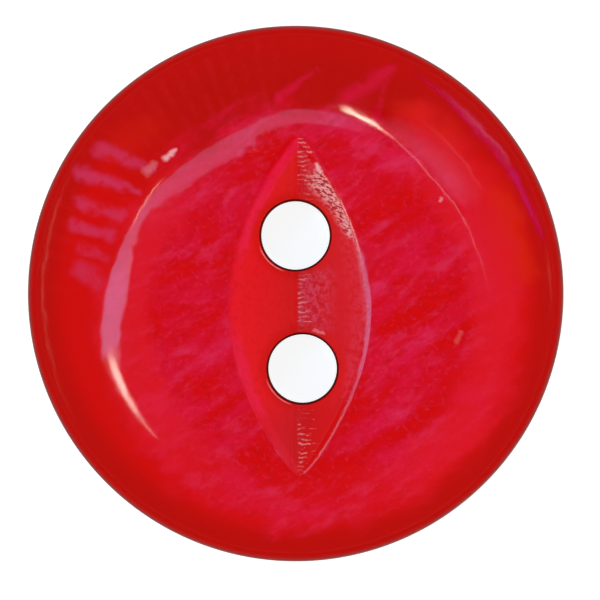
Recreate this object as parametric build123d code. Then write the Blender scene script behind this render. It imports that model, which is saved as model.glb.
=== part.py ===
from build123d import *
import math
import os

# A two-hole fish-eye button, turned from pearl polyester as one piece.
# Millimetres. The back lies on Z = 0, the front faces +Z, and the outline's centre is on the Z axis.
# The fish eye runs along Y.

# Blank
diameter = 16.0
thickness = 2.8
back_curve_width = 2.6
back_curve_rise = 0.43
back_edge_radius = 0.5
front_edge_radius = 0.65

# Front face, turned about an axis that lies a little beside the blank's own: a flat, a shoulder and a slope
face_y = -0.28
shoulder_width = 1.3
shoulder_radius = 3.8
slope_width = 2.1
slope_radius = 9.05

# Fish eye, cut by a wheel with a V edge that rolls along Y
eye_x = 0.10
eye_y = -0.41
eye_length = 10.24
eye_width = 4.24
eye_depth = 0.75
eye_nose_radius = 0.4
eye_edge_radius = 0.7

# Thread holes, on a line that is turned a little from the eye
hole_pair_x = 0.10
hole_pair_y = -0.255
hole_turn = 3.04
hole_spacing = 3.98
hole_diameter = 2.04
hole_chamfer = 0.08

# How far each cutter reaches past what it cuts, and the most of the outline's wall that one rounded edge may take
overshoot = 1.0
wall_share = 0.45

outline_radius = diameter / 2
slope_start = outline_radius - slope_width
flat_radius = slope_start - shoulder_width
back_seat_radius = outline_radius - back_curve_width
back_curve_radius = (back_curve_width**2 + back_curve_rise**2) / (2 * back_curve_rise)


def tilt_after(tilt, width, radius):
    """The tilt in degrees at the end of an arc that starts at this tilt and covers this width."""
    return math.degrees(math.asin(math.sin(math.radians(tilt)) + width / radius))


def arc_drop(tilt, width, radius):
    """How far such an arc falls."""
    end_tilt = tilt_after(tilt, width, radius)
    return radius * (math.cos(math.radians(tilt)) - math.cos(math.radians(end_tilt)))


shoulder_tilt = tilt_after(0, shoulder_width, shoulder_radius)
back_edge_tilt = tilt_after(0, back_curve_width, back_curve_radius)


def face_drop(radius):
    """How far the front face has fallen below its flat, this far from its own axis."""
    shoulder_part = min(max(radius - flat_radius, 0), shoulder_width)
    slope_part = max(radius - slope_start, 0)
    shoulder_drop = arc_drop(0, shoulder_part, shoulder_radius)
    return shoulder_drop + arc_drop(shoulder_tilt, slope_part, slope_radius)


# The wall round the outline is lowest where the face's axis is furthest away.
face_reach = outline_radius + abs(face_y)
front_edge_tilt = tilt_after(shoulder_tilt, face_reach - slope_start, slope_radius)
wall_height = thickness - face_drop(face_reach) - back_curve_rise


def wall_fillet(radius, tilt):
    """This radius, or less where rounding from the wall to this tilt would take more than its share of the wall."""
    return min(radius, wall_share * wall_height / math.tan(math.radians(90 - tilt) / 2))


def blank():
    """The blank with its flat seat, its curved back and its plain wall, before the face is turned."""
    seat = Line((0, 0), (back_seat_radius, 0))
    curve = JernArc(seat @ 1, seat % 1, back_curve_radius, back_edge_tilt)
    rest = Polyline(curve @ 1, (outline_radius, thickness), (0, thickness), (0, 0))
    section = make_face(seat + curve + rest)
    foot_of_wall = section.vertices().sort_by_distance(curve @ 1)[0]
    section = Plane.XZ * fillet(foot_of_wall, wall_fillet(back_edge_radius, back_edge_tilt))
    return revolve(section, Axis.Z)


def face_envelope():
    """All that the turning of the face leaves, as a cap about the face's own axis."""
    cap_radius = face_reach + overshoot
    cap_tilt = tilt_after(shoulder_tilt, cap_radius - slope_start, slope_radius)
    flat = Line((0, thickness), (flat_radius, thickness))
    shoulder = JernArc(flat @ 1, flat % 1, shoulder_radius, -shoulder_tilt)
    slope = JernArc(shoulder @ 1, shoulder % 1, slope_radius, shoulder_tilt - cap_tilt)
    rest = Polyline(slope @ 1, (cap_radius, -overshoot), (0, -overshoot), (0, thickness))
    section = Plane.XZ * make_face(flat + shoulder + slope + rest)
    return Pos(0, face_y, 0) * revolve(section, Axis.Z)


def eye_cutter():
    """The wheel that cuts the fish eye. It meets the face at the eye's two tips and its two sides."""
    half_length = eye_length / 2
    half_width = eye_width / 2
    tip_depth = eye_depth - face_drop(half_length)
    wheel_radius = (half_length**2 + tip_depth**2) / (2 * tip_depth)
    flank_slope = (eye_depth - face_drop(half_width)) / half_width
    wheel_half_width = half_width + overshoot
    valley_height = thickness - eye_depth
    axle_height = valley_height + wheel_radius
    flank_top = valley_height + flank_slope * wheel_half_width
    v_edge = Polyline(
        (-wheel_half_width, axle_height),
        (-wheel_half_width, flank_top),
        (0, valley_height),
        (wheel_half_width, flank_top),
        (wheel_half_width, axle_height),
        close=True,
    )
    section = make_face(v_edge)
    nose = section.vertices().sort_by(Axis.Y)[0]
    section = Plane.XZ * fillet(nose, eye_nose_radius)
    axle = Axis((0, 0, axle_height), (1, 0, 0))
    return Pos(eye_x, eye_y, 0) * revolve(section, axle)


def drills():
    """The two drills that make the thread holes."""
    drill = Pos(0, 0, thickness / 2) * Cylinder(hole_diameter / 2, thickness + 2 * overshoot)
    pair = Pos(hole_pair_x, hole_pair_y, 0) * Rot(0, 0, hole_turn)
    return [pair * Pos(0, side * hole_spacing / 2, 0) * drill for side in (-1, 1)]


def button():
    """The whole button. Tumbling rounds the edges that the turning and the milling leave."""
    plain_blank = blank()
    envelope = face_envelope()
    turned = plain_blank & envelope
    rim = new_edges(plain_blank, envelope, combined=turned)
    turned = fillet(rim, wall_fillet(front_edge_radius, front_edge_tilt))
    wheel = eye_cutter()
    milled = turned - wheel
    milled = fillet(new_edges(turned, wheel, combined=milled), eye_edge_radius)
    drilled = milled - drills()
    hole_rims = new_edges(milled, *drills(), combined=drilled)
    return chamfer(hole_rims, hole_chamfer)


os.makedirs("parts", exist_ok=True)
export_step(button(), "parts/button.step")
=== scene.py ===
# A two-hole fish-eye button in red pearl polyester, lying on its back and seen from straight above.
import math

import bmesh
import bpy
import numpy as np
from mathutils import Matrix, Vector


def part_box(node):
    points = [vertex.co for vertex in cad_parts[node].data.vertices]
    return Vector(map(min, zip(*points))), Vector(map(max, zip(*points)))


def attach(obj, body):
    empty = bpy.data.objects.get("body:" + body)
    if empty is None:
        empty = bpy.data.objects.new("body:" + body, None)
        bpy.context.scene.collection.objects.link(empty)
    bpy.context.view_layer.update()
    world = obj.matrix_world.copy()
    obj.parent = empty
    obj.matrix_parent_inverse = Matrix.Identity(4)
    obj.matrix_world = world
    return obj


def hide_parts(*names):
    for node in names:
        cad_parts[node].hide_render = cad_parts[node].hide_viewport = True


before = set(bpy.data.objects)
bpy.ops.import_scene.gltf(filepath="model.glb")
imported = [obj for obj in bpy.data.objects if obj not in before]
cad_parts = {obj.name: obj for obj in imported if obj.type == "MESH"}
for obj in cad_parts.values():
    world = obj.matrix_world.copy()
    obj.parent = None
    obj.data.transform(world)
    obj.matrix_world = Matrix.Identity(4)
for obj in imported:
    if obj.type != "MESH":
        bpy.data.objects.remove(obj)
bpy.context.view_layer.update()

# Sizes are in millimetres, as in the part, and each mesh is scaled to metres when it is made.
MM = 0.001
lowest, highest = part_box("button")
OUTLINE_RADIUS = (highest.x - lowest.x) / 2 / MM
THICKNESS = (highest.z - lowest.z) / MM

# Front face, about its own axis: a flat, a shoulder and a slope
FACE_Y = -0.28
SHOULDER_WIDTH = 1.3
SHOULDER_RADIUS = 3.8
SLOPE_WIDTH = 2.1
SLOPE_RADIUS = 9.05
FRONT_EDGE_RADIUS = 0.65
SLOPE_START = OUTLINE_RADIUS - SLOPE_WIDTH
FLAT_RADIUS = SLOPE_START - SHOULDER_WIDTH
SHOULDER_SINE = SHOULDER_WIDTH / SHOULDER_RADIUS

# Back: a flat seat with a curve round it
BACK_CURVE_WIDTH = 2.6
BACK_CURVE_RISE = 0.43
BACK_EDGE_RADIUS = 0.5
BACK_SEAT_RADIUS = OUTLINE_RADIUS - BACK_CURVE_WIDTH
BACK_CURVE_RADIUS = (BACK_CURVE_WIDTH**2 + BACK_CURVE_RISE**2) / (2 * BACK_CURVE_RISE)

# Fish eye, cut by a wheel with a V edge that rolls along Y
EYE_X = 0.10
EYE_Y = -0.41
EYE_LENGTH = 10.24
EYE_WIDTH = 4.24
EYE_DEPTH = 0.75
EYE_NOSE_RADIUS = 0.4
EYE_EDGE_RADIUS = 0.7

# Thread holes
HOLE_PAIR = (0.10, -0.255)
HOLE_TURN = math.radians(3.04)
HOLE_SPACING = 3.98
HOLE_RADIUS = 1.02
HOLE_EDGE_RADIUS = 0.08
HOLE_RING_RADIUS = 1.2

# How finely the mesh follows the form
STATION_SPACING = 0.05
HOLE_ROW_SPREAD = 2 * STATION_SPACING
FRONT_COLUMNS = 18
BACK_COLUMNS = 4
FRONT_RINGS = 78
BACK_RINGS = 24
ANNULUS_STEPS = 3
EDGE_STEPS = 9
WALL_STEPS = 4

# One ring in this many lies crowded beside the eye's edge.
CROWDED_RING = 6

# How far and how closely an edge is searched for, and what counts as the same place
TIP_SEARCH = 6.0
SIDE_SEARCH = 3.0
HALVINGS = 40
SLOPE_STEPS = 100
AZIMUTH_DIGITS = 9
MERGE_DISTANCE = 1e-7


def face_height(x, y):
    """The height of the turned face, before the eye is cut."""
    radius = np.hypot(x, y - FACE_Y)
    over_shoulder = np.clip(radius - FLAT_RADIUS, 0, SHOULDER_WIDTH)
    over_slope = np.maximum(radius - SLOPE_START, 0)
    shoulder_drop = SHOULDER_RADIUS - np.sqrt(SHOULDER_RADIUS**2 - over_shoulder**2)
    slope_sine = SHOULDER_SINE + over_slope / SLOPE_RADIUS
    slope_drop = SLOPE_RADIUS * (math.sqrt(1 - SHOULDER_SINE**2) - np.sqrt(1 - slope_sine**2))
    return THICKNESS - shoulder_drop - slope_drop


def face_drop(distance):
    """How far the face has fallen, this far from its own axis."""
    return THICKNESS - float(face_height(0, FACE_Y + distance))


TIP_DEPTH = EYE_DEPTH - face_drop(EYE_LENGTH / 2)
WHEEL_RADIUS = ((EYE_LENGTH / 2) ** 2 + TIP_DEPTH**2) / (2 * TIP_DEPTH)
FLANK_SLOPE = (EYE_DEPTH - face_drop(EYE_WIDTH / 2)) / (EYE_WIDTH / 2)
AXLE_HEIGHT = THICKNESS - EYE_DEPTH + WHEEL_RADIUS
EYE_BLEND = EYE_EDGE_RADIUS * FLANK_SLOPE**2 / 2


def wheel_height(x, y):
    """The height that the wheel's V edge cuts down to."""
    across = np.abs(x - EYE_X)
    flank_angle = math.atan(FLANK_SLOPE)
    nose = np.minimum(across, EYE_NOSE_RADIUS * math.sin(flank_angle))
    nose_height = EYE_NOSE_RADIUS / math.cos(flank_angle) - np.sqrt(EYE_NOSE_RADIUS**2 - nose**2)
    edge_height = np.where(across > nose, FLANK_SLOPE * across, nose_height)
    return AXLE_HEIGHT - np.sqrt((WHEEL_RADIUS - edge_height) ** 2 - (y - EYE_Y) ** 2)


def front_height(x, y):
    """The finished front: the lower of the face and the eye, with the edge between them rounded."""
    face, wheel = face_height(x, y), wheel_height(x, y)
    blend = np.maximum(EYE_BLEND - np.abs(face - wheel), 0) ** 2 / (4 * EYE_BLEND)
    return np.minimum(face, wheel) - blend


def back_height(x, y):
    """The flat seat and the curve round it."""
    over_curve = np.maximum(np.hypot(x, y) - BACK_SEAT_RADIUS, 0)
    return BACK_CURVE_RADIUS - np.sqrt(BACK_CURVE_RADIUS**2 - over_curve**2)


def eye_gap(x, y):
    """About how far a point is outside the eye's edge. Inside the eye it is negative."""
    return (wheel_height(x, y) - face_height(x, y)) / FLANK_SLOPE


def first_outside(start, reach, point_at):
    """How far to go from inside the eye until its edge, by halving the reach."""
    inside, outside = start, start + reach
    for _ in range(HALVINGS):
        middle = (inside + outside) / 2
        is_inside = eye_gap(*point_at(middle)) < 0
        inside = np.where(is_inside, middle, inside)
        outside = np.where(is_inside, outside, middle)
    return inside


def eye_tip(side):
    """Where the eye ends along Y, up for side 1 and down for side -1."""
    reach = first_outside(np.zeros(1), TIP_SEARCH, lambda along: (EYE_X, EYE_Y + side * along))
    return EYE_Y + side * float(reach[0])


def eye_half_width(y, side):
    """The eye's half width at each Y, to the right for side 1 and to the left for side -1."""
    return first_outside(np.zeros_like(y), SIDE_SEARCH, lambda across: (EYE_X + side * across, y))


def hole_centres():
    """The thread holes' centres, the upper one first."""
    along = np.array([-math.sin(HOLE_TURN), math.cos(HOLE_TURN)])
    return [np.array(HOLE_PAIR) + side * HOLE_SPACING / 2 * along for side in (1, -1)]


def evenly(start, end, length):
    """Points from start up to but not including end, about one station apart over this length."""
    count = max(round(length / STATION_SPACING), 2)
    return np.linspace(start, end, count, endpoint=False)


def half_layout(side):
    """The rows of one half of the eye, down from its upper tip: where each starts and ends.

    A row starts in the valley or round a hole, and ends on the eye's edge.
    """
    top, bottom = eye_tip(1), eye_tip(-1)
    valley_y, starts, edge_y = top, [], []
    last_edge_y = top
    for centre in hole_centres():
        offset = EYE_X - centre[0]
        turn = math.acos(offset / HOLE_RING_RADIUS)
        ring_rise = HOLE_RING_RADIUS * math.sin(turn)
        meets, leaves = centre[1] + ring_rise, centre[1] - ring_rise
        edge_meets, edge_leaves = meets + HOLE_ROW_SPREAD, leaves - HOLE_ROW_SPREAD
        down = evenly(valley_y, meets, valley_y - meets)
        starts += [(EYE_X, y) for y in down]
        edge_y += list(np.linspace(last_edge_y, edge_meets, len(down), endpoint=False))
        sweep = 2 * math.pi - 2 * turn if side < 0 else -2 * turn
        around = evenly(turn, turn + sweep, abs(sweep) * HOLE_RING_RADIUS)
        ring = centre + HOLE_RING_RADIUS * np.column_stack([np.cos(around), np.sin(around)])
        starts += [tuple(point) for point in ring]
        edge_y += list(np.linspace(edge_meets, edge_leaves, len(around), endpoint=False))
        valley_y, last_edge_y = leaves, edge_leaves
    down = evenly(valley_y, bottom, valley_y - bottom)
    starts += [(EYE_X, y) for y in down] + [(EYE_X, bottom)]
    edge_y += list(np.linspace(last_edge_y, bottom, len(down) + 1))
    edge_y = np.array(edge_y)
    ends = np.column_stack([EYE_X + side * eye_half_width(edge_y, side), edge_y])
    ends[0] = starts[0]
    ends[-1] = starts[-1]
    return np.array(starts), ends


def ring_azimuths(centre, starts_by_side):
    """The azimuths round a hole at which the rows of both halves meet its ring."""
    found = []
    for starts in starts_by_side:
        away = starts - centre
        on_ring = np.abs(np.hypot(*away.T) - HOLE_RING_RADIUS) < MERGE_DISTANCE
        found += list(np.arctan2(away[on_ring, 1], away[on_ring, 0]))
    return np.unique(np.round(found, AZIMUTH_DIGITS))


def edge_loops(height, up, centre, wall_radius, side, rounding, azimuths):
    """Loops that round the edge between a face and an upright wall, from the face to the wall.

    up is 1 for the front and -1 for the back. side is 1 where the material is inside the wall's
    radius and -1 where it is outside, as round a hole.
    """
    cosine, sine = np.cos(azimuths), np.sin(azimuths)

    def at(radius):
        return height(centre[0] + radius * cosine, centre[1] + radius * sine)

    step = rounding / SLOPE_STEPS
    tilt = np.zeros_like(azimuths)
    for _ in range(HALVINGS):
        radius = wall_radius - side * rounding * (1 - np.sin(tilt))
        tilt = np.arctan(-up * side * (at(radius + step) - at(radius - step)) / (2 * step))
    top = at(radius)
    loops = []
    for share in np.linspace(0, 1, EDGE_STEPS):
        turn = tilt + share * (math.pi / 2 - tilt)
        out = wall_radius - side * rounding * (1 - np.sin(turn))
        z = top + up * rounding * (np.cos(turn) - np.cos(tilt))
        loops.append(np.column_stack([centre[0] + out * cosine, centre[1] + out * sine, z]))
    return loops


def on_face(height, points):
    """Plan points lifted on to a face."""
    points = np.asarray(points)
    return np.column_stack([points, height(points[:, 0], points[:, 1])])


def grid_between(height, inner, outer, shares):
    """Lines of points from one plan line to another, at these shares of the way, lifted on to a face."""
    return [on_face(height, inner + share * (outer - inner)) for share in shares]


def clustered(count):
    """Shares from 0 to 1 that crowd towards both ends."""
    return (1 - np.cos(np.linspace(0, math.pi, count))) / 2


class Skin:
    """Gathers grids of points and the four-sided faces between them."""

    def __init__(self):
        self.points, self.faces = [], []

    def add(self, lines, closed=False):
        """One grid, as lines of equally many points. If closed, each line's end joins its start."""
        first, count = len(self.points), len(lines[0])
        self.points += [tuple(point) for line in lines for point in line]
        for row in range(len(lines) - 1):
            for column in range(count if closed else count - 1):
                a = first + row * count + column
                b = first + row * count + (column + 1) % count
                self.faces.append((a, b, b + count, a + count))

    def as_mesh(self, name):
        """The gathered faces as a mesh in metres, with its points in the order they were added."""
        mesh = bpy.data.meshes.new(name)
        mesh.from_pydata((np.array(self.points) * MM).tolist(), [], self.faces)
        return mesh

    def as_closed_mesh(self, name):
        """The gathered faces as one closed, smooth mesh in metres."""
        mesh = self.as_mesh(name)
        body = bmesh.new()
        body.from_mesh(mesh)
        bmesh.ops.remove_doubles(body, verts=body.verts, dist=MERGE_DISTANCE)
        bmesh.ops.recalc_face_normals(body, faces=body.faces)
        body.to_mesh(mesh)
        body.free()
        mesh.polygons.foreach_set("use_smooth", [True] * len(mesh.polygons))
        return mesh


def add_face(skin, height, up, columns, rings, rim_rounding, layouts):
    """One face of the button with its rounded edges.

    Returns the loops where the upright walls start, the rim's first and then the holes'.
    """
    for starts, ends in layouts:
        skin.add(grid_between(height, starts, ends, clustered(columns)))
    ends_left, ends_right = layouts[0][1], layouts[1][1]
    eye_line = np.vstack([ends_left[:-1], ends_right[:0:-1]])
    away = eye_line - (EYE_X, EYE_Y)
    away /= np.hypot(*away.T)[:, None]
    along = away @ (EYE_X, EYE_Y)
    reach = -along + np.sqrt(along**2 + OUTLINE_RADIUS**2 - EYE_X**2 - EYE_Y**2)
    outline = np.array([EYE_X, EYE_Y]) + away * reach[:, None]
    azimuths = np.arctan2(outline[:, 1], outline[:, 0])
    rim = edge_loops(height, up, (0, 0), OUTLINE_RADIUS, 1, rim_rounding, azimuths)
    near_shares = clustered(2 * rings)[:rings // CROWDED_RING]
    far_shares = np.linspace(near_shares[-1], 1, rings - len(near_shares) + 1)[1:]
    shares = np.concatenate([near_shares, far_shares])
    skin.add(grid_between(height, eye_line, rim[0][:, :2], shares), closed=True)
    skin.add(rim, closed=True)
    walls = [rim[-1]]
    for centre in hole_centres():
        around = ring_azimuths(centre, [starts for starts, _ in layouts])
        ring = centre + HOLE_RING_RADIUS * np.column_stack([np.cos(around), np.sin(around)])
        edge = edge_loops(height, up, centre, HOLE_RADIUS, -1, HOLE_EDGE_RADIUS, around)
        shares = np.linspace(0, 1, ANNULUS_STEPS)
        skin.add(grid_between(height, ring, edge[0][:, :2], shares), closed=True)
        skin.add(edge, closed=True)
        walls.append(edge[-1])
    return walls


def button_mesh():
    """The button as one closed mesh that follows the part's form."""
    layouts = [half_layout(-1), half_layout(1)]
    skin = Skin()
    upper = add_face(skin, front_height, 1, FRONT_COLUMNS, FRONT_RINGS, FRONT_EDGE_RADIUS, layouts)
    lower = add_face(skin, back_height, -1, BACK_COLUMNS, BACK_RINGS, BACK_EDGE_RADIUS, layouts)
    steps = np.linspace(0, 1, WALL_STEPS)
    for above, below in zip(upper, lower):
        skin.add([above + share * (below - above) for share in steps], closed=True)
    return skin.as_closed_mesh("pearl_button")


def hole_distances(x, y):
    """How far each point is outside the nearest hole, and how far round to its lower left."""
    away = np.array([[x - centre[0], y - centre[1]] for centre in hole_centres()])
    reach = np.hypot(away[:, 0], away[:, 1])
    nearest = np.argmin(reach, axis=0)
    each = np.arange(len(x))
    lower_left = -(away[nearest, 0, each] + away[nearest, 1, each]) / math.sqrt(2)
    return reach[nearest, each] - HOLE_RADIUS, lower_left / reach[nearest, each]


def add_attribute(mesh, name, values):
    """Keep one value at each of a mesh's points, for its material to read."""
    attribute = mesh.attributes.new(name, "FLOAT", "POINT")
    attribute.data.foreach_set("value", values.astype(np.float32))


def add_measures(mesh):
    """Distances that the finish needs, kept at each of the mesh's points."""
    places = np.empty(len(mesh.vertices) * 3)
    mesh.vertices.foreach_get("co", places)
    x, y, z = places.reshape(-1, 3).T / MM
    hole_gap, hole_lower_left = hole_distances(x, y)
    on_front = z > THICKNESS / 2
    measures = {
        "eye_gap": np.where(on_front, eye_gap(x, y), EYE_LENGTH),
        "hole_gap": hole_gap,
        "hole_lower_left": hole_lower_left,
    }
    for name, values in measures.items():
        add_attribute(mesh, name, values)


NOISE_MEAN = 0.5


class Finish:
    """A material written as short calls. Each adds a node and, except node itself, returns its output."""

    def __init__(self, name):
        self.material = bpy.data.materials.new(name)
        self.material.use_nodes = True
        self.tree = self.material.node_tree
        self.tree.nodes.clear()

    def node(self, kind, inputs, **settings):
        made = self.tree.nodes.new("ShaderNode" + kind)
        for setting, value in settings.items():
            setattr(made, setting, value)
        for socket, value in inputs.items():
            if isinstance(value, bpy.types.NodeSocket):
                self.tree.links.new(value, made.inputs[socket])
            else:
                made.inputs[socket].default_value = value
        return made

    def maths(self, operation, *values):
        return self.node("Math", dict(enumerate(values)), operation=operation).outputs[0]

    def vector(self, operation, *values):
        return self.node("VectorMath", dict(enumerate(values)), operation=operation).outputs["Vector"]

    def scaled(self, place, factor):
        return self.node("VectorMath", {0: place, "Scale": factor}, operation="SCALE").outputs["Vector"]

    def product(self, first, *others):
        for other in others:
            first = self.maths("MULTIPLY", first, other)
        return first

    def total(self, first, *others):
        for other in others:
            first = self.maths("ADD", first, other)
        return first

    def ramp(self, value, start, end):
        """0 at start, 1 at end and smooth between, also where end is the lower."""
        inputs = {"Value": value, "From Min": start, "From Max": end}
        ramped = self.node("MapRange", inputs, interpolation_type="SMOOTHSTEP")
        return ramped.outputs["Result"]

    def window(self, value, start, end, fade):
        """1 between start and end, fading to 0 outside them."""
        fade_in = self.ramp(value, start - fade, start)
        return self.product(fade_in, self.ramp(value, end + fade, end))

    def blend(self, share, first, second):
        return self.node("Mix", {0: share, 6: first, 7: second}, data_type="RGBA").outputs[2]

    def stretched(self, place, turn, scale):
        """Coordinates turned about Z, in degrees, and scaled, so that a pattern runs one way."""
        turned = self.node("Mapping", {"Vector": place, "Rotation": (0, 0, math.radians(-turn))})
        return self.node("Mapping", {"Vector": turned.outputs[0], "Scale": scale}).outputs[0]

    def noise(self, place, scale, detail=3.0, roughness=0.5, distortion=0.0):
        """Cloudy noise about a mean of a half, this many clouds to a millimetre."""
        inputs = {
            "Vector": place,
            "Scale": scale,
            "Detail": detail,
            "Roughness": roughness,
            "Distortion": distortion,
        }
        return self.node("TexNoise", inputs).outputs["Fac"]

    def warped(self, place, scale, amount, detail):
        """Plan places pushed about by up to half this amount, so that what is drawn there is uneven."""
        inputs = {"Vector": place, "Scale": scale, "Detail": detail}
        push = self.node("TexNoise", inputs).outputs["Color"]
        centred = self.vector("SUBTRACT", push, (NOISE_MEAN, NOISE_MEAN, NOISE_MEAN))
        pushed = self.vector("ADD", place, self.scaled(centred, amount))
        return self.vector("MULTIPLY", pushed, (1, 1, 0))

    def stroke(self, place, start, end, near_width, far_width):
        """A brush stroke: 1 along the line between two places, and 0 from its half width outwards."""
        run = (end[0] - start[0], end[1] - start[1], 0)
        length_squared = run[0] ** 2 + run[1] ** 2
        step = tuple(side / length_squared for side in run)
        from_start = self.vector("SUBTRACT", place, (*start, 0))
        along = self.node("VectorMath", {0: from_start, 1: step}, operation="DOT_PRODUCT")
        share = self.node("Clamp", {"Value": along.outputs["Value"]}).outputs[0]
        nearest = self.scaled(run, share)
        away = self.node("VectorMath", {0: from_start, 1: nearest}, operation="DISTANCE").outputs["Value"]
        width = self.total(self.product(share, far_width - near_width), near_width)
        return self.ramp(away, width, self.product(width, STROKE_CORE))

    def brushed(self, place, strokes):
        """How strongly a set of strokes covers a point, each as strong as its last number says."""
        cover = 0.0
        for *shape, strength in strokes:
            cover = self.maths("MAXIMUM", cover, self.product(self.stroke(place, *shape), strength))
        return cover


# Colours, as they look on a screen from 0 to 255. The gloss over them adds its own veil.
GLOSS_VEIL = 0.004


def seen(red, green, blue):
    """The base colour that looks like these screen values once the gloss has added its veil.

    The numbers are those of the standard screen curve.
    """
    shares = [value / 255 for value in (red, green, blue)]
    light = [s / 12.92 if s < 0.04045 else ((s + 0.055) / 1.055) ** 2.4 for s in shares]
    return (*[max(value - GLOSS_VEIL, 0) for value in light], 1)


FACE_RED = seen(216, 10, 16)
FACE_PINK = seen(221, 23, 57)
PALE_PINK = seen(228, 52, 92)
SHADE_RED = seen(200, 8, 10)
# Painted glow: a brighter red ring, lower down and at the sides, as light through the rim.
PAINTED_LUSTRE_RED = seen(230, 28, 40)
RIM_RED = seen(216, 15, 14)
# Painted shade: the rim darker at its top than lower down.
PAINTED_SHADE_TOP_RED = seen(188, 17, 9)
RIPPLE_RED = seen(212, 30, 34)
# Painted shade: the rim darker towards the outline.
PAINTED_SHADE_OUTER_RED = seen(194, 16, 6)
# Painted shade: a dark line along the outline.
PAINTED_SHADE_EDGE_BROWN = seen(150, 30, 18)
# Painted glow of light through the right rim.
PAINTED_GLOW_RED = seen(226, 26, 32)
# Orange; on the right rim it is a painted glow.
AMBER_AND_GLOW = seen(222, 36, 16)
LILAC_PINK = seen(208, 54, 90)
# Painted light: the left flank and its valley lighter, as if lit from the right, on the clear red of the
# cut.
PAINTED_LIT_LEFT_FLANK_RED = seen(234, 22, 28)
LEFT_EDGE_PINK = seen(236, 30, 60)
PAINTED_LIT_VALLEY_RED = seen(232, 24, 26)
RIGHT_FLANK_RED = seen(217, 17, 26)
# Pink, partly painted sheen of the lamp on the milled flank.
RIGHT_FLANK_PINK_AND_SHEEN = seen(220, 58, 80)
TIP_RED = seen(214, 16, 18)
HALO_RED = seen(220, 17, 13)
# Painted shade where the face turns down into the holes.
PAINTED_SHADE_HOLE_BROWN = seen(92, 18, 8)
# Painted highlights: glints on the face and the arcs by the holes.
PAINTED_GLINT_PINK = seen(250, 160, 160)
# Painted sheen: light dashes and chatter marks on the milled flank.
PAINTED_SHEEN_PINK = seen(252, 176, 168)
SCRAPE_DARK = seen(176, 34, 42)

# Strokes on the face: start and end in millimetres, half width at each, strength. A stroke is full
# within this share of its half width.
STROKE_CORE = 0.1
PINK_STREAKS = [
    ((1.2, 5.1), (4.6, 3.4), 0.9, 1.1, 1.5),
    ((2.3, 0.16), (4.7, 1.18), 0.2, 0.35, 0.9),
    ((1.95, -4.3), (4.9, -2.0), 0.3, 0.5, 0.6),
    ((2.7, -5.0), (5.9, -2.5), 0.25, 0.4, 0.8),
    ((2.2, -2.7), (4.0, -1.3), 0.2, 0.3, 0.6),
    ((5.2, 2.1), (6.4, -1.1), 0.6, 0.7, 0.9),
    ((-4.2, -5.0), (-1.6, -6.2), 0.5, 0.7, 0.7),
    ((-1.6, -6.2), (1.4, -6.7), 0.7, 0.4, 0.35),
    ((-4.7, 0.9), (-2.4, 1.7), 0.2, 0.35, 0.6),
    ((-4.5, -3.2), (-2.1, -1.6), 0.3, 0.35, 0.7),
    ((-4.2, 2.0), (-2.4, 3.0), 0.3, 0.4, 0.6),
]
RED_STREAKS = [
    ((2.4, 2.3), (4.0, 3.2), 0.35, 0.3, 1.0),
    ((2.7, -1.1), (4.5, 0.0), 0.3, 0.35, 0.9),
    ((2.2, -4.8), (4.0, -3.4), 0.3, 0.3, 0.8),
    ((-2.9, -5.2), (-0.8, -4.8), 0.35, 0.5, 1.0),
    ((-3.5, 0.85), (-1.9, 1.9), 0.25, 0.2, 0.8),
    ((-0.8, -5.4), (1.6, -5.4), 0.6, 0.6, 1.2),
    ((-2.6, -4.4), (-1.2, -3.6), 0.4, 0.4, 0.7),
    ((-2.6, -1.4), (-2.2, 0.6), 0.4, 0.4, 0.6),
    ((2.6, -1.9), (4.2, -0.8), 0.25, 0.3, 0.7),
    ((-1.4, 4.2), (1.4, 4.6), 0.4, 0.4, 0.8),
    ((-4.2, -0.9), (-2.6, -0.2), 0.2, 0.2, 0.7),
]
RIPPLES = [
    ((-5.79, 4.28), (-4.30, 3.68), 0.42, 0.16, 0.60),
    ((-6.40, 3.58), (-4.70, 3.05), 0.40, 0.18, 0.70),
    ((-6.50, 2.72), (-5.20, 2.32), 0.30, 0.26, 0.60),
    ((-6.60, 2.04), (-5.45, 1.70), 0.32, 0.28, 0.62),
    ((-6.40, 1.36), (-5.70, 1.08), 0.26, 0.24, 0.40),
    ((-6.45, 0.72), (-5.90, 0.40), 0.42, 0.42, 0.50),
]
WISPS = [
    ((-0.47, 5.84), (0.64, 6.67), 0.30, 0.10, 0.6),
    ((1.53, 5.80), (2.82, 6.67), 0.40, 0.35, 0.6),
    ((2.40, 5.20), (2.70, 6.50), 0.20, 0.15, 0.4),
    ((-2.60, 5.00), (-1.70, 5.75), 0.25, 0.10, 0.4),
]
# Orange strokes: the first, in the right rim, is a painted glow of light through the plastic; the others
# are orange tints.
AMBER_HAZE_AND_GLOW = [
    ((6.10, 3.00), (6.95, 0.60), 0.60, 0.50, 0.55),
    ((-5.40, 4.30), (-4.30, 5.00), 0.75, 0.75, 0.20),
    ((3.30, 5.50), (4.60, 4.70), 0.60, 0.60, 0.25),
]
# Painted glow: brighter red strokes in the right rim, as light through the plastic.
PAINTED_RIM_GLOWS = [
    ((3.70, 5.20), (5.60, 3.00), 0.90, 0.90, 0.85),
    ((5.60, 3.00), (6.30, 0.60), 0.80, 0.70, 0.85),
    ((6.30, 0.60), (6.10, -1.20), 0.60, 0.50, 0.70),
]
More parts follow.
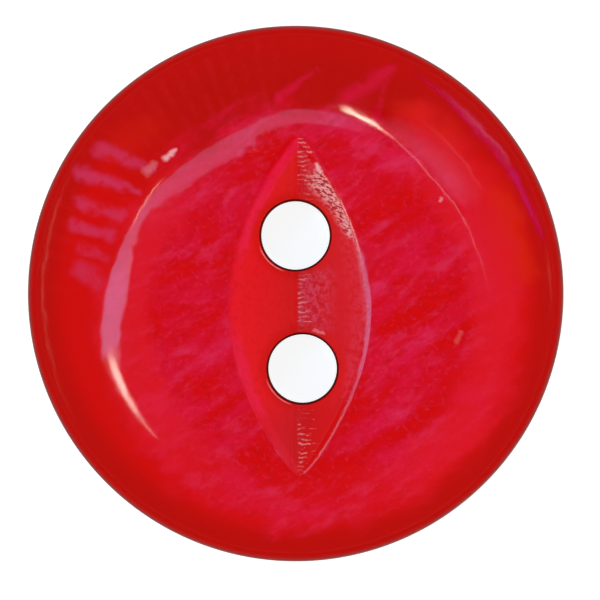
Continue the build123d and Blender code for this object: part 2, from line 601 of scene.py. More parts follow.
# Painted highlights: small glints on the face.
PAINTED_GLINTS = [
    ((-3.88, 4.02), (-3.60, 4.26), 0.15, 0.10, 0.9),
    ((-4.42, 3.64), (-4.22, 3.84), 0.24, 0.18, 0.22),
    ((4.30, 2.76), (4.33, 2.82), 0.08, 0.08, 0.5),
    ((4.80, -1.44), (4.90, -1.16), 0.13, 0.11, 0.12),
    ((0.55, -1.10), (0.84, -1.20), 0.09, 0.07, 0.35),
    ((0.61, 3.85), (0.74, 3.60), 0.08, 0.09, 1.0),
]
# Torn dashes with painted sheen: where the milled flank reflects the lamp.
SCRAPES_AND_SHEEN = [
    ((0.74, 3.36), (1.11, 2.91), 0.55, 0.60, 1.0),
    ((1.11, 2.91), (1.62, 1.83), 0.55, 0.26, 0.85),
]
# In what follows a noise is clouds to a millimetre, detail, roughness and distortion. A warp is a noise's
# clouds and its push in millimetres, then its detail. A stretch is a turn in degrees and a scale along each
# axis. A range is where a ramp starts and ends. A band is where a window starts, ends and how it fades.
PEARL_TURN = 31
RAGGED_WARP = (7.0, 0.15, 3.0)
GENTLE_WARP = (2.2, 0.3, 1.0)
SOFT_WARP = (1.2, 0.9, 3.0)
STREAK_STRETCH = (PEARL_TURN, (0.42, 1.0, 1.0))
SOFT_STREAK_STRETCH = (PEARL_TURN, (0.7, 1.0, 1.0))
FINE_NOISE = (6.0, 3.0, 0.6)
MOTTLE_NOISE = (2.6, 5.0, 0.65, 0.6)
FRONT_RANGE = (THICKNESS * 0.4, THICKNESS * 0.6)
IN_EYE_RANGE = (0.0, -0.12)
MILLED_SIDE_RANGE = (0.0, 0.1)


def measure(finish, name):
    """One of the mesh's kept values."""
    return finish.node("Attribute", {}, attribute_name=name).outputs["Fac"]


class Places:
    """Where a point of the surface is, in millimetres, and what it lies on."""

    def __init__(self, finish):
        object_place = finish.node("TexCoord", {}).outputs["Object"]
        self.place = finish.scaled(object_place, 1 / MM)
        self.x, self.y, self.z = finish.node("SeparateXYZ", {"Vector": self.place}).outputs
        x_squared, y_squared = finish.product(self.x, self.x), finish.product(self.y, self.y)
        self.radius = finish.maths("SQRT", finish.total(x_squared, y_squared))
        self.upness = finish.maths("DIVIDE", self.y, self.radius)
        self.across = finish.maths("SUBTRACT", self.x, EYE_X)
        self.on_top = finish.ramp(self.z, *FRONT_RANGE)
        self.eye_gap = measure(finish, "eye_gap")
        self.hole_gap = measure(finish, "hole_gap")
        self.hole_lower_left = measure(finish, "hole_lower_left")
        self.in_eye = finish.ramp(self.eye_gap, *IN_EYE_RANGE)
        self.milled_side = finish.ramp(self.across, *MILLED_SIDE_RANGE)
        self.ragged = finish.warped(self.place, *RAGGED_WARP)
        self.gentle = finish.warped(self.place, *GENTLE_WARP)
        self.soft = finish.warped(self.place, *SOFT_WARP)
        self.streaks = finish.stretched(self.place, *STREAK_STRETCH)
        self.soft_streaks = finish.stretched(self.place, *SOFT_STREAK_STRETCH)
        self.fine = finish.noise(self.place, *FINE_NOISE)
        self.mottle = finish.noise(self.place, *MOTTLE_NOISE)


# Pearl: its clouds, threads, dark streaks and grain
CLOUD_NOISE = (0.75, 5.0, 0.62, 0.6)
CLOUD_BIAS = 0.11
CLOUD_RANGE = (0.38, 0.72)
THREAD_NOISE = (2.4, 3.0, 0.55, 0.2)
THREAD_BIAS = 0.05
THREAD_RANGE = (0.48, 0.80)
THREAD_SHARE = 0.55
DARK_NOISE = (4.0, 3.0, 0.6)
DARK_RANGE = (0.48, 0.80)
DARK_SHARE = 0.6
GRAIN_RANGE = (0.50, 0.78)
GRAIN_SHARE = 0.28


def pearl_colour(finish, places):
    """The pearl: clouds drawn out in streaks, with threads and grain in them."""
    pink = finish.brushed(places.soft, PINK_STREAKS)
    red = finish.brushed(places.soft, RED_STREAKS)
    bias = finish.maths("SUBTRACT", pink, red)
    clouds = finish.noise(places.streaks, *CLOUD_NOISE)
    clouds = finish.total(clouds, finish.product(bias, CLOUD_BIAS))
    colour = finish.blend(finish.ramp(clouds, *CLOUD_RANGE), FACE_RED, FACE_PINK)
    threads = finish.noise(places.streaks, *THREAD_NOISE)
    threads = finish.total(threads, finish.product(bias, THREAD_BIAS))
    pale = finish.product(finish.ramp(threads, *THREAD_RANGE), THREAD_SHARE)
    colour = finish.blend(pale, colour, PALE_PINK)
    dark = finish.ramp(finish.noise(places.soft_streaks, *DARK_NOISE), *DARK_RANGE)
    colour = finish.blend(finish.product(dark, DARK_SHARE), colour, SHADE_RED)
    grain = finish.product(finish.ramp(places.fine, *GRAIN_RANGE), GRAIN_SHARE)
    return finish.blend(grain, colour, PALE_PINK)


# Faint ripples in the rim: their pitch in degrees, and where they are
RIPPLE_PITCH = 4.0
RIPPLE_WOBBLE = 6.0
RIPPLE_CREST_RANGE = (-0.6, 1.0)
RIPPLE_BAND = (5.9, 7.5, 0.4)
RIPPLE_SPAN = (math.radians(100), math.radians(165), 0.4)
RIPPLE_PATCH_RANGE = (0.38, 0.62)
RIPPLE_SHARE = 0.24


def rim_ripples(finish, places):
    """Faint ripples that fan out through the upper rim."""
    azimuth = finish.maths("ARCTAN2", places.y, places.x)
    wobble = finish.product(places.mottle, RIPPLE_WOBBLE)
    phase = finish.total(finish.product(azimuth, 360 / RIPPLE_PITCH), wobble)
    crests = finish.ramp(finish.maths("SINE", phase), *RIPPLE_CREST_RANGE)
    on_rim = finish.window(places.radius, *RIPPLE_BAND)
    around = finish.window(azimuth, *RIPPLE_SPAN)
    patches = finish.ramp(places.mottle, *RIPPLE_PATCH_RANGE)
    return finish.product(crests, on_rim, around, patches, RIPPLE_SHARE)


# Face: how far the pearl reaches from its own centre, the painted lustre glow round it, and the rim with
# its painted shade and glow
PEARL_CENTRE = (0.46, -0.67)
PEARL_FULL = 5.7
PEARL_NONE = 6.8
PEARL_EDGE_NOISE = (1.6, 4.0, 0.6)
PEARL_EDGE_SPREAD = 1.6
BACK_PEARL_SHARE = 0.5
ABOVE_RANGE = (0.4, 0.95)
BESIDE_RANGE = (0.2, 0.8)
LUSTRE_BAND = (5.2, 6.4, 0.7)
LUSTRE_ALL_ROUND = 0.2
LUSTRE_BESIDE = 0.45
OUTER_RIM_RANGE = (6.7, 7.5)
PATCH_NOISE = (2.4, 3.0, 0.5)
PATCH_RANGE = (0.22, 0.56)


def pearl_cover(finish, places, reach):
    """How much of the pearl shows: all inside its reach, none in the rim, and less of it on the back."""
    streaks = finish.noise(places.streaks, *PEARL_EDGE_NOISE)
    uneven = finish.product(finish.maths("SUBTRACT", streaks, NOISE_MEAN), PEARL_EDGE_SPREAD)
    front_share = finish.product(places.on_top, 1 - BACK_PEARL_SHARE)
    depth_share = finish.total(front_share, BACK_PEARL_SHARE)
    inside = finish.ramp(finish.total(reach, uneven), PEARL_NONE, PEARL_FULL)
    return finish.product(inside, depth_share)


def face_colour(finish, places):
    """The pearl face in its clear red rim, with the ripples and wisps that run out of it. Painted into the
    colour are a glow ring in the pearl, glow and orange in the right rim, and shade at the rim's top and
    outer edge.
    """

    def on_front(strokes, warp):
        return finish.product(finish.brushed(warp, strokes), places.on_top)

    centre = finish.vector("SUBTRACT", places.soft, (*PEARL_CENTRE, 0))
    reach = finish.node("VectorMath", {0: centre}, operation="LENGTH").outputs["Value"]
    above = finish.product(finish.ramp(places.upness, *ABOVE_RANGE), places.on_top)
    low = finish.maths("SUBTRACT", 1.0, above)
    sideness = finish.maths("DIVIDE", finish.maths("ABSOLUTE", places.x), places.radius)
    beside = finish.product(finish.ramp(sideness, *BESIDE_RANGE), LUSTRE_BESIDE)
    beside = finish.total(beside, LUSTRE_ALL_ROUND)
    # Painted glow: a brighter red ring in the pearl, faint at the top and strongest at the sides.
    painted_lustre = finish.product(finish.window(reach, *LUSTRE_BAND), low, beside)
    pearl = finish.blend(painted_lustre, pearl_colour(finish, places), PAINTED_LUSTRE_RED)
    # Painted shade: the rim darker towards its top.
    rim = finish.blend(above, RIM_RED, PAINTED_SHADE_TOP_RED)
    # Painted shade: darker towards the outline.
    rim = finish.blend(finish.ramp(places.radius, *OUTER_RIM_RANGE), rim, PAINTED_SHADE_OUTER_RED)
    colour = finish.blend(pearl_cover(finish, places, reach), rim, pearl)
    # Painted glow in the right rim.
    colour = finish.blend(on_front(PAINTED_RIM_GLOWS, places.soft), colour, PAINTED_GLOW_RED)
    # Orange tints, partly painted glow.
    colour = finish.blend(on_front(AMBER_HAZE_AND_GLOW, places.soft), colour, AMBER_AND_GLOW)
    faint = finish.product(rim_ripples(finish, places), places.on_top)
    colour = finish.blend(faint, colour, RIPPLE_RED)
    patchy = finish.ramp(finish.noise(places.place, *PATCH_NOISE), *PATCH_RANGE)
    ripples = finish.product(on_front(RIPPLES, places.gentle), patchy)
    colour = finish.blend(ripples, colour, LILAC_PINK)
    wisps = finish.product(on_front(WISPS, places.gentle), patchy)
    return finish.blend(wisps, colour, FACE_PINK)


# Left flank: its tip, and the bloom inside its edge, strongest in an upper and a lower stretch
LEFT_VALLEY_RANGE = (-1.3, 0.0)
LEFT_TIP_RANGE = (-2.8, -4.4)
UPPER_BLOOM_RANGE = (0.6, 1.8)
LOWER_BLOOM_BAND = (-3.3, -1.7, 0.7)
LOWER_BLOOM_SHARE = 0.8
BLOOM_ELSEWHERE = 0.25
BLOOM_UNEVENNESS = 0.24
BLOOM_BAND = (-0.14, 0.06, 0.2)
BLOOM_SHARE = 0.8
LEFT_GRAIN_RANGE = (0.45, 0.75)
LEFT_GRAIN_SHARE = 0.3


def left_flank_colour(finish, places):
    """The eye's smooth left flank, with a pink bloom inside its edge. Its clear red is painted lighter, as
    if lit from the right.
    """
    # Painted light: the clear red of the cut, lighter as if lit from the right, also in the valley.
    to_valley = finish.ramp(places.across, *LEFT_VALLEY_RANGE)
    colour = finish.blend(to_valley, PAINTED_LIT_LEFT_FLANK_RED, PAINTED_LIT_VALLEY_RED)
    colour = finish.blend(finish.ramp(places.y, *LEFT_TIP_RANGE), colour, TIP_RED)
    upper = finish.ramp(places.y, *UPPER_BLOOM_RANGE)
    lower = finish.product(finish.window(places.y, *LOWER_BLOOM_BAND), LOWER_BLOOM_SHARE)
    along = finish.total(finish.maths("MAXIMUM", upper, lower), BLOOM_ELSEWHERE)
    uneven_gap = finish.total(places.eye_gap, finish.product(places.mottle, BLOOM_UNEVENNESS))
    bloom = finish.product(finish.window(uneven_gap, *BLOOM_BAND), along, BLOOM_SHARE)
    colour = finish.blend(bloom, colour, LEFT_EDGE_PINK)
    grain = finish.product(finish.ramp(places.fine, *LEFT_GRAIN_RANGE), LEFT_GRAIN_SHARE)
    return finish.blend(grain, colour, SHADE_RED)


# Right flank: its pinker places, partly painted sheen, its pits and its tip
BETWEEN_HOLES_BAND = (-0.9, 0.5, 0.5)
RIGHT_VALLEY_RANGE = (1.25, 0.5)
RIGHT_EDGE_RANGE = (-0.9, -0.25)
RIGHT_EDGE_SHARE = 0.4
PIT_NOISE = (5.0, 4.0, 0.75)
LIGHT_PIT_RANGE = (0.40, 0.62)
DARK_PIT_RANGE = (0.46, 0.30)
DARK_PIT_SHARE = 0.5
RIGHT_TIP_RANGE = (-2.6, -3.6)


def right_flank_colour(finish, places):
    """The eye's milled right flank, with a painted sheen by the valley between the holes, and pinker along
    its edge.
    """
    between_holes = finish.window(places.y, *BETWEEN_HOLES_BAND)
    # Painted sheen: the lamp's reflection on the milled flank by the valley.
    sheen_by_valley = finish.product(between_holes, finish.ramp(places.across, *RIGHT_VALLEY_RANGE))
    by_edge = finish.product(finish.ramp(places.eye_gap, *RIGHT_EDGE_RANGE), RIGHT_EDGE_SHARE)
    pits = finish.noise(places.place, *PIT_NOISE)
    mottled = finish.ramp(pits, *LIGHT_PIT_RANGE)
    share = finish.product(finish.maths("MAXIMUM", sheen_by_valley, by_edge), mottled)
    colour = finish.blend(share, RIGHT_FLANK_RED, RIGHT_FLANK_PINK_AND_SHEEN)
    dark = finish.product(finish.ramp(pits, *DARK_PIT_RANGE), DARK_PIT_SHARE)
    colour = finish.blend(dark, colour, SHADE_RED)
    return finish.blend(finish.ramp(places.y, *RIGHT_TIP_RANGE), colour, TIP_RED)


# Torn dashes on the right flank, their light ones painted sheen
TORN_INSIDE_RANGE = (-0.10, -0.20)
DASH_STRETCH = (-24, (7.5, 17.0, 1.0))
DASH_NOISE = (1.0, 2.0, 0.6, 0.4)
DASH_RANGE = (0.43, 0.54)


def scrapes(finish, places):
    """Short dashes that the cutter tore on the right flank: how much of them, and which are light, as
    painted sheen.
    """
    inside = finish.ramp(places.eye_gap, *TORN_INSIDE_RANGE)
    torn = finish.product(finish.brushed(places.ragged, SCRAPES_AND_SHEEN), inside)
    dashes = finish.noise(finish.stretched(places.place, *DASH_STRETCH), *DASH_NOISE)
    return torn, finish.ramp(dashes, *DASH_RANGE)


# Chatter marks across the valley: their pitch and how far they reach from it, in millimetres
CHATTER_PITCH = 0.14
CHATTER_WOBBLE = 14.0
CHATTER_CREST_RANGE = (0.0, 0.9)
BEAT_NOISE = (2.2, 3.0, 0.6)
BEAT_RANGE = (0.42, 0.54)
BEAT_SHARE = 0.75
GAP_STRETCH = (10, (5.0, 8.0, 1.0))
GAP_NOISE = (1.0, 2.0, 0.6)
GAP_RANGE = (0.40, 0.54)
ROW_STRETCH = (0, (0.8, 9.0, 1.0))
ROW_NOISE = (1.0, 1.0, 0.5)
TICK_REACH = 0.28
TICK_REACH_SPREAD = 4 * TICK_REACH
TICK_START_RANGE = (-0.07, 0.0)
TICK_END_RANGE = (0.04, -0.06)


def ticks(finish, places):
    """The chatter marks across the valley: 1 on each light mark, and no two of one length."""
    beats = finish.noise(places.place, *BEAT_NOISE)
    along = finish.product(places.y, 2 * math.pi / CHATTER_PITCH)
    phase = finish.total(along, finish.product(beats, CHATTER_WOBBLE))
    crests = finish.ramp(finish.maths("SINE", phase), *CHATTER_CREST_RANGE)
    gaps = finish.noise(finish.stretched(places.place, *GAP_STRETCH), *GAP_NOISE)
    each = finish.noise(finish.stretched(places.place, *ROW_STRETCH), *ROW_NOISE)
    reach = finish.total(finish.product(each, TICK_REACH_SPREAD), -TICK_REACH)
    past_end = finish.maths("SUBTRACT", places.across, reach)
    begun = finish.ramp(places.across, *TICK_START_RANGE)
    length = finish.product(finish.ramp(past_end, *TICK_END_RANGE), begun)
    patchy = finish.product(finish.ramp(beats, *BEAT_RANGE), BEAT_SHARE)
    patchy = finish.total(patchy, 1 - BEAT_SHARE)
    return finish.product(crests, finish.ramp(gaps, *GAP_RANGE), length, patchy)


# Eye: its edges, its marks, and the holes' halos, painted highlight arcs and painted shade on their rims
EYE_EDGE_UNEVENNESS = 0.12
LEFT_EDGE_RANGE = (0.06, -0.16)
LEFT_SIDE_RANGE = (0.03, -0.05)
RIGHT_INSIDE_RANGE = (0.0, -0.08)
RIGHT_SIDE_RANGE = (-0.05, 0.03)
TORN_SHARE = 0.75
TICK_SHARE = 0.4
HALO_RANGE = (0.40, 0.14)
HALO_SHARE = 0.85
# Painted highlight: a thin light arc by each hole, towards its lower left.
ARC_BAND = (0.095, 0.10, 0.025)
ARC_SPAN_RANGE = (0.86, 0.97)
ARC_SHARE = 0.5
HOLE_RIM_RANGE = (0.075, 0.045)


def eye_colour(finish, places, colour):
    """The eye, where the wheel has cut through the pearl into clear red, and the holes' rims, with painted
    sheen, highlights and shade.
    """
    uneven = finish.product(places.fine, EYE_EDGE_UNEVENNESS)
    uneven_gap = finish.total(places.eye_gap, uneven, -EYE_EDGE_UNEVENNESS / 2)
    left_side = finish.ramp(places.across, *LEFT_SIDE_RANGE)
    in_left = finish.product(finish.ramp(uneven_gap, *LEFT_EDGE_RANGE), left_side)
    right_side = finish.ramp(places.across, *RIGHT_SIDE_RANGE)
    in_right = finish.product(finish.ramp(places.eye_gap, *RIGHT_INSIDE_RANGE), right_side)
    colour = finish.blend(in_left, colour, left_flank_colour(finish, places))
    colour = finish.blend(in_right, colour, right_flank_colour(finish, places))
    torn, light = scrapes(finish, places)
    # Painted sheen: the light torn dashes; the others darker.
    torn_sheen_colour = finish.blend(light, SCRAPE_DARK, PAINTED_SHEEN_PINK)
    colour = finish.blend(finish.product(torn, TORN_SHARE), colour, torn_sheen_colour)
    # Painted highlights: the chatter marks' light ticks along the valley.
    marks = finish.product(ticks(finish, places), places.in_eye, TICK_SHARE)
    colour = finish.blend(marks, colour, PAINTED_SHEEN_PINK)
    halo = finish.product(finish.ramp(places.hole_gap, *HALO_RANGE), HALO_SHARE)
    colour = finish.blend(halo, colour, HALO_RED)
    # Painted highlight arcs by the holes.
    arc_span = finish.ramp(places.hole_lower_left, *ARC_SPAN_RANGE)
    painted_arc = finish.product(finish.window(places.hole_gap, *ARC_BAND), arc_span, ARC_SHARE)
    colour = finish.blend(painted_arc, colour, PAINTED_GLINT_PINK)
    # Painted shade at the holes' rims.
    return finish.blend(finish.ramp(places.hole_gap, *HOLE_RIM_RANGE), colour, PAINTED_SHADE_HOLE_BROWN)


# Relief, as heights in millimetres
CHATTER_RELIEF = 0.004
TORN_RELIEF = 0.012
MILLED_NOISE = (10.0, 3.0, 0.6)
MILLED_RELIEF = 0.007
WAVE_NOISE = (0.8, 2.0, 0.5)
WAVE_RELIEF = 0.012
POLISH_NOISE = (4.0, 3.0, 0.5)
POLISH_RELIEF = 0.0012


def relief(finish, places):
    """What the surface adds to the form, as a height: the wheel's marks and the polish's waves."""
    torn, light = scrapes(finish, places)
    chatter = finish.product(ticks(finish, places), places.in_eye, CHATTER_RELIEF)
    dents = finish.product(torn, light, TORN_RELIEF)
    milled = finish.product(places.milled_side, places.in_eye)
    grain = finish.product(finish.noise(places.place, *MILLED_NOISE), milled, MILLED_RELIEF)
    waves = finish.product(finish.noise(places.place, *WAVE_NOISE), WAVE_RELIEF)
    polish = finish.product(finish.noise(places.place, *POLISH_NOISE), POLISH_RELIEF)
    return finish.total(chatter, dents, grain, waves, polish)


# Gloss: where it is dull, and how rough and how shiny each kind of surface is
MILLED_INSIDE_RANGE = (-0.12, -0.3)
DULL_OUTER_RANGE = (OUTLINE_RADIUS - 0.34, OUTLINE_RADIUS - 0.24)
DULL_HOLE_RANGE = (0.10, 0.05)
DULL_EDGE_BAND = (-0.3, 0.15, 0.1)
DULL_EDGE_ABOVE_RANGE = (2.6, 3.1)
DULL_VALLEY_BAND = (0.0, 0.2, 0.4)
DULL_VALLEY_INSIDE_RANGE = (0.0, -0.1)
MILLED_DULLNESS = 0.6
LEFT_ROUGH_RANGE = (0.05, -0.05)
LEFT_ROUGH_INSIDE_RANGE = (0.0, -0.3)
POLISHED_ROUGHNESS = 0.07
LEFT_ROUGHNESS = 0.15
MILLED_ROUGHNESS = 0.25
DULL_ROUGHNESS = 0.3
SPECULAR_LEVEL = 0.25
DULL_SPECULAR_LOSS = 0.85


def gloss(finish, places):
    """How rough the surface is, and its specular level."""
    inside = finish.ramp(places.eye_gap, *MILLED_INSIDE_RANGE)
    milled = finish.product(places.milled_side, inside)
    outer = finish.ramp(places.radius, *DULL_OUTER_RANGE)
    near_hole = finish.ramp(places.hole_gap, *DULL_HOLE_RANGE)
    upper = finish.ramp(places.y, *DULL_EDGE_ABOVE_RANGE)
    upper_edge = finish.product(finish.window(places.eye_gap, *DULL_EDGE_BAND), upper)
    dull = finish.maths("MAXIMUM", finish.maths("MAXIMUM", outer, near_hole), upper_edge)
    inside = finish.ramp(places.eye_gap, *DULL_VALLEY_INSIDE_RANGE)
    valley = finish.product(finish.window(places.across, *DULL_VALLEY_BAND), inside)
    cut = finish.product(finish.maths("MAXIMUM", milled, valley), MILLED_DULLNESS)
    dull = finish.maths("MAXIMUM", dull, cut)
    inside = finish.ramp(places.eye_gap, *LEFT_ROUGH_INSIDE_RANGE)
    on_left = finish.product(finish.ramp(places.across, *LEFT_ROUGH_RANGE), inside)
    roughness = finish.total(
        POLISHED_ROUGHNESS,
        finish.product(milled, MILLED_ROUGHNESS),
        finish.product(dull, DULL_ROUGHNESS),
        finish.product(on_left, LEFT_ROUGHNESS),
    )
    kept = finish.maths("SUBTRACT", 1.0, finish.product(dull, DULL_SPECULAR_LOSS))
    return roughness, finish.product(kept, SPECULAR_LEVEL)


OUTLINE_EDGE_RANGE = (OUTLINE_RADIUS - 0.13, OUTLINE_RADIUS - 0.03)


def pearl_polyester():
    """Red pearl polyester, polished, with the eye left as the wheel cut it and plain, dull edges. Its
    colour also carries painted glow, sheen, highlights and shade.
    """
    finish = Finish("red_pearl_polyester")
    places = Places(finish)
    colour = eye_colour(finish, places, face_colour(finish, places))
    # Painted highlights: small glints on the face.
    glints = finish.product(finish.brushed(places.ragged, PAINTED_GLINTS), places.on_top)
    colour = finish.blend(glints, colour, PAINTED_GLINT_PINK)
    # Painted shade: a dark line along the outline.
    edge = finish.ramp(places.radius, *OUTLINE_EDGE_RANGE)
    colour = finish.blend(edge, colour, PAINTED_SHADE_EDGE_BROWN)
    inputs = {"Height": relief(finish, places), "Distance": MM, "Strength": 1.0}
    bump = finish.node("Bump", inputs)
    roughness, specular_level = gloss(finish, places)
    shader = finish.node(
        "BsdfPrincipled",
        {
            "Base Color": colour,
            "Roughness": roughness,
            "Specular IOR Level": specular_level,
            "Normal": bump.outputs["Normal"],
        },
    )
    finish.node("OutputMaterial", {"Surface": shader.outputs["BSDF"]})
    return finish.material


# Camera
FRAME_WIDTH = 17.917
CAMERA_X = 0.1278
CAMERA_Y = -0.1956
CAMERA_DISTANCE = 500.0
OUTLINE_HEIGHT = 1.2
SENSOR_WIDTH = 36.0
CLIP_START = 0.01


def add_camera():
    """A long lens straight above, framed as the photograph is."""
    data = bpy.data.cameras.new("camera")
    data.sensor_width = SENSOR_WIDTH
    data.lens = SENSOR_WIDTH * CAMERA_DISTANCE / FRAME_WIDTH
    data.clip_start = CLIP_START
    camera = bpy.data.objects.new("camera", data)
    camera.location = (CAMERA_X * MM, CAMERA_Y * MM, (OUTLINE_HEIGHT + CAMERA_DISTANCE) * MM)
    bpy.context.scene.collection.objects.link(camera)
    bpy.context.scene.camera = camera


# Lamps, as outlines in the sky: a colour, a strength, the share of the width over which the glow fades in
# from each side, and stations. A station is an azimuth, a near and a far zenith angle, all in degrees, and
# how bright the lamp is there. Each lamp is where the face reflects it as one of its highlights. Each
# hangs this gap nearer, in metres, than the one before, and so in front of it.
LAMP_DISTANCE = 1.0
LAMP_GAP = 0.01
LILAC = (0.14, 0.62, 1.15)
WARM = (1.0, 0.92, 0.72)
PALE_WARM = (0.92, 0.98, 0.86)
ROSE = (0.8, 0.75, 0.8)
WHITE = (1.0, 0.96, 0.92)
VIOLET = (0.30, 0.10, 1.0)
PALE_VIOLET = (0.55, 0.45, 1.1)
LAMPS = {
    "window": (LILAC, 2.0, 0.4, [
        (72, 32, 44, 0.0), (60, 30, 49, 0.8), (46, 28, 51, 1.0), (36, 28.4, 51, 1.0), (26, 29.6, 48, 0.0),
    ]),
    "upper_softbox": (LILAC, 3.4, 0.06, [
        (62, 30, 37, 0.0), (70, 26, 37, 0.4), (78, 24, 37, 0.7), (86, 23, 37, 0.8), (94, 22, 37, 0.9),
        (102, 16, 29, 1.0), (109, 7, 25, 1.0), (117, 2, 23, 1.0), (127, 2, 22, 1.0), (138, 7, 24, 1.1),
        (146, 15, 25.5, 1.4), (151.5, 18.5, 25.6, 1.5),
    ]),
    "left_softbox": (LILAC, 7.2, 0.05, [
        (151.5, 18.5, 25.4, 0.7), (158, 16.5, 26, 0.75), (169, 12.5, 30, 1.0), (177, 13, 34, 1.1),
        (185, 19, 38.5, 1.15), (195, 25.5, 43, 1.1),
    ]),
    "left_edge_line": (ROSE, 9.0, 0.3, [
        (155, 17.2, 18.4, 0.2), (163, 15.4, 16.8, 1.0), (170, 13.6, 15, 1.0), (179, 13.6, 14.6, 0.3),
    ]),
    "pinch_line": (WARM, 16.0, 0.2, [
        (136, 25.2, 26, 0.2), (143, 25.3, 26.9, 1.0), (151, 24.2, 25.6, 1.0), (157, 24.1, 24.8, 0.2),
    ]),
    "left_lamp": (ROSE, 7.0, 0.15, [
        (195, 25.6, 43.4, 0.8), (201, 30, 42, 1.0), (210, 31.4, 40.6, 1.0), (217, 32.6, 40.2, 0.8),
        (223, 35.6, 38.4, 0.5),
    ]),
    "left_lamp_core": (PALE_WARM, 30.0, 0.35, [
        (195, 30, 41, 0.3), (199, 30.6, 41, 0.9), (206, 31.2, 40, 1.0), (212, 32.6, 39.6, 0.7),
        (216, 33.6, 39.4, 0.3), (223, 35.6, 38.4, 0.2),
    ]),
    "upper_lamp": (WARM, 55.0, 0.25, [
        (77, 41, 42.4, 0.3), (73, 38.6, 42, 1.0), (68, 36.6, 40.6, 0.9), (61, 33, 36, 0.25),
    ]),
    "window_frame": (ROSE, 7.5, 0.3, [
        (61, 34.2, 35.8, 1.0), (44, 27.4, 29, 1.0), (29.5, 29.4, 30.8, 0.8), (14.7, 32.4, 33.5, 0.7),
        (4, 35.2, 36, 0.3),
    ]),
    "window_top": (ROSE, 2.4, 0.3, [
        (56, 49.6, 50.6, 0.3), (46, 49.6, 50.8, 1.0), (38, 49, 50.2, 1.0), (31, 47.8, 48.8, 0.8),
    ]),
    "window_line": (ROSE, 4.0, 0.3, [(60, 39, 40, 0.6), (54, 38, 39, 1.0), (49, 37, 38, 0.5)]),
    "violet_lamp": (VIOLET, 3.6, 0.35, [
        (12, 64.4, 65.4, 0.2), (20, 62.6, 66, 1.0), (28, 61.8, 66.2, 1.0), (36, 61.4, 66.5, 1.1),
        (45, 61.8, 66.7, 1.2), (52, 63.2, 66.9, 1.1), (58, 65, 67, 0.7), (63, 66, 67, 0.1),
    ]),
    "violet_core": (PALE_VIOLET, 3.0, 0.4, [
        (31, 63.6, 66, 0.2), (36, 63.2, 66.3, 1.2), (43, 63.4, 66.5, 1.5), (50, 64.6, 66.8, 1.1),
        (56, 65.8, 67, 0.4),
    ]),
    "left_rim_line": (WARM, 3.0, 0.3, [
        (148, 66.6, 67.1, 0.2), (160, 65.7, 66.5, 1.0), (180, 64.1, 65, 1.0), (208, 62.4, 63, 0.3),
    ]),
    "right_rim_line": (WARM, 3.0, 0.3, [(-2, 65.5, 66, 0.4), (5, 64.9, 65.8, 1.0), (12, 65.2, 65.8, 0.3)]),
}

# Wide, even lamps further out, which light the colours and don't show in the gloss
FILL_DISTANCE = 1.6
FILL_GAP = 0.2
ALL_ROUND = range(0, 361, 30)
RIGHT_SIDE = range(-80, 81, 20)
FILL_LAMPS = {
    "fill_above": (WHITE, 0.43, 0.0, [(azimuth, 1, 75, 1.0) for azimuth in ALL_ROUND]),
    "fill_round": (WHITE, 2.6, 0.0, [(azimuth, 75, 88, 1.0) for azimuth in ALL_ROUND]),
    "fill_right": (WHITE, 0.85, 0.0, [(azimuth, 42, 74, 1.0) for azimuth in RIGHT_SIDE]),
}


def lamp_skin(fade, stations, distance):
    """A lamp's points on the sky, in lines from its near side to its far one, and its glow at each."""
    azimuth, near, far, brightness = np.array(stations).T
    turn = np.radians(azimuth)
    profile = [(0, 0), (fade, 1), (1 - fade, 1), (1, 0)] if fade else [(0, 1), (1, 1)]
    lines, glow = [], []
    for share, level in profile:
        zenith = np.radians(near + share * (far - near))
        direction = [np.sin(zenith) * np.cos(turn), np.sin(zenith) * np.sin(turn), np.cos(zenith)]
        lines.append(np.column_stack(direction) * distance / MM)
        glow.append(brightness * level)
    skin = Skin()
    skin.add(lines)
    return skin, np.concatenate(glow)


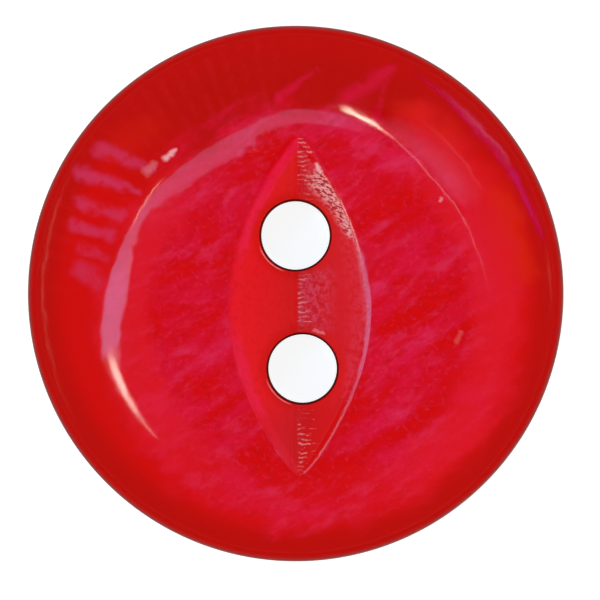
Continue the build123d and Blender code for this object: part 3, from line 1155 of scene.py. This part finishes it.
def add_lamp(name, colour, strength, fade, stations, distance):
    """A glowing strip in the sky that the camera itself doesn't see."""
    skin, glow = lamp_skin(fade, stations, distance)
    mesh = skin.as_mesh(name)
    add_attribute(mesh, "glow", glow)
    finish = Finish(name)
    level = finish.product(measure(finish, "glow"), strength)
    emission = finish.node("Emission", {"Color": (*colour, 1), "Strength": level})
    finish.node("OutputMaterial", {"Surface": emission.outputs["Emission"]})
    mesh.materials.append(finish.material)
    lamp = bpy.data.objects.new(name, mesh)
    lamp.visible_camera = False
    bpy.context.scene.collection.objects.link(lamp)
    return lamp


# Floor and sky
FLOOR_HALF_WIDTH = 0.4
FLOOR_GREY = 0.3
FLOOR_GLOW = 0.9
SKY_STRENGTH = 0.2


def add_floor():
    """A pale floor, plain white wherever it is seen, that still takes the button's shadow."""
    half = FLOOR_HALF_WIDTH
    corners = [(-half, -half, 0), (half, -half, 0), (half, half, 0), (-half, half, 0)]
    mesh = bpy.data.meshes.new("floor")
    mesh.from_pydata(corners, [], [(0, 1, 2, 3)])
    finish = Finish("white_floor")
    path = finish.node("LightPath", {}).outputs
    in_view = finish.maths("MAXIMUM", path["Is Camera Ray"], path["Is Glossy Ray"])
    in_view = finish.maths("MAXIMUM", in_view, path["Is Transmission Ray"])
    glow = finish.node("Emission", {"Strength": finish.product(in_view, FLOOR_GLOW)})
    diffuse = finish.node("BsdfDiffuse", {"Color": (FLOOR_GREY, FLOOR_GREY, FLOOR_GREY, 1)})
    both = finish.node("AddShader", {0: glow.outputs[0], 1: diffuse.outputs[0]})
    finish.node("OutputMaterial", {"Surface": both.outputs[0]})
    mesh.materials.append(finish.material)
    floor = bpy.data.objects.new("floor", mesh)
    bpy.context.scene.collection.objects.link(floor)


def set_sky():
    """A dim even sky."""
    world = bpy.data.worlds.new("sky")
    world.use_nodes = True
    background = world.node_tree.nodes["Background"]
    background.inputs["Color"].default_value = (1, 1, 1, 1)
    background.inputs["Strength"].default_value = SKY_STRENGTH
    bpy.context.scene.world = world


button = bpy.data.objects.new("pearl_button", button_mesh())
add_measures(button.data)
button.data.materials.append(pearl_polyester())
bpy.context.scene.collection.objects.link(button)
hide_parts("button")
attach(button, "root")

add_camera()
add_floor()
set_sky()
for index, (name, lamp) in enumerate(LAMPS.items()):
    add_lamp(name, *lamp, LAMP_DISTANCE - index * LAMP_GAP)
for index, (name, lamp) in enumerate(FILL_LAMPS.items()):
    add_lamp(name, *lamp, FILL_DISTANCE - index * FILL_GAP).visible_glossy = False
bpy.context.scene.view_settings.view_transform = "Standard"
